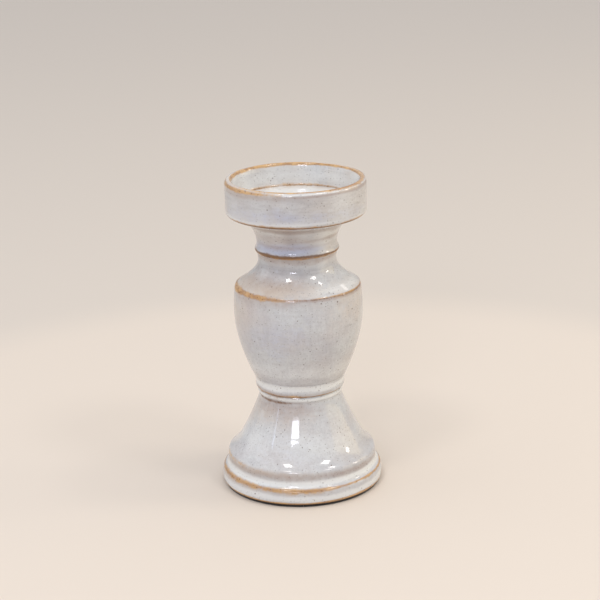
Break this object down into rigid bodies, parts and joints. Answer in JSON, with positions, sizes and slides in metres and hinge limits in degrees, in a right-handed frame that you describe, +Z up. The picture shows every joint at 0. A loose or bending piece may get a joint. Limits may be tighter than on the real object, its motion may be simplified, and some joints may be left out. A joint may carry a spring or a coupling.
{
  "type": "pillar candle holder",
  "caption": "Baluster-shaped glazed stoneware holder for one pillar candle: shallow cup, ridged neck, hollow urn body, flared pedestal and round plinth on a felt ring.",
  "frame": {"origin": "on the axis, at the level of the surface that the holder stands on", "axes": "+Z up along the axis of the turned sections; the holder looks the same all round, and the four quarters of the felt ring have their middles on the diagonals between X and Y"},
  "size_m": [0.096, 0.096, 0.186],
  "materials": {
    "glaze": "glossy pale blue-grey reactive glaze with brown breaks on the edges and fine dark specks",
    "felt": "pressed wool felt"
  },
  "bodies": {
    "root": {"candle_cup": "glaze", "neck_collar": "glaze", "urn_body": "glaze", "waist_collar": "glaze", "pedestal": "glaze", "plinth_ring": "glaze", "felt_quarter_1": "felt", "felt_quarter_2": "felt", "felt_quarter_3": "felt", "felt_quarter_4": "felt"}
  },
  "joints": []
}
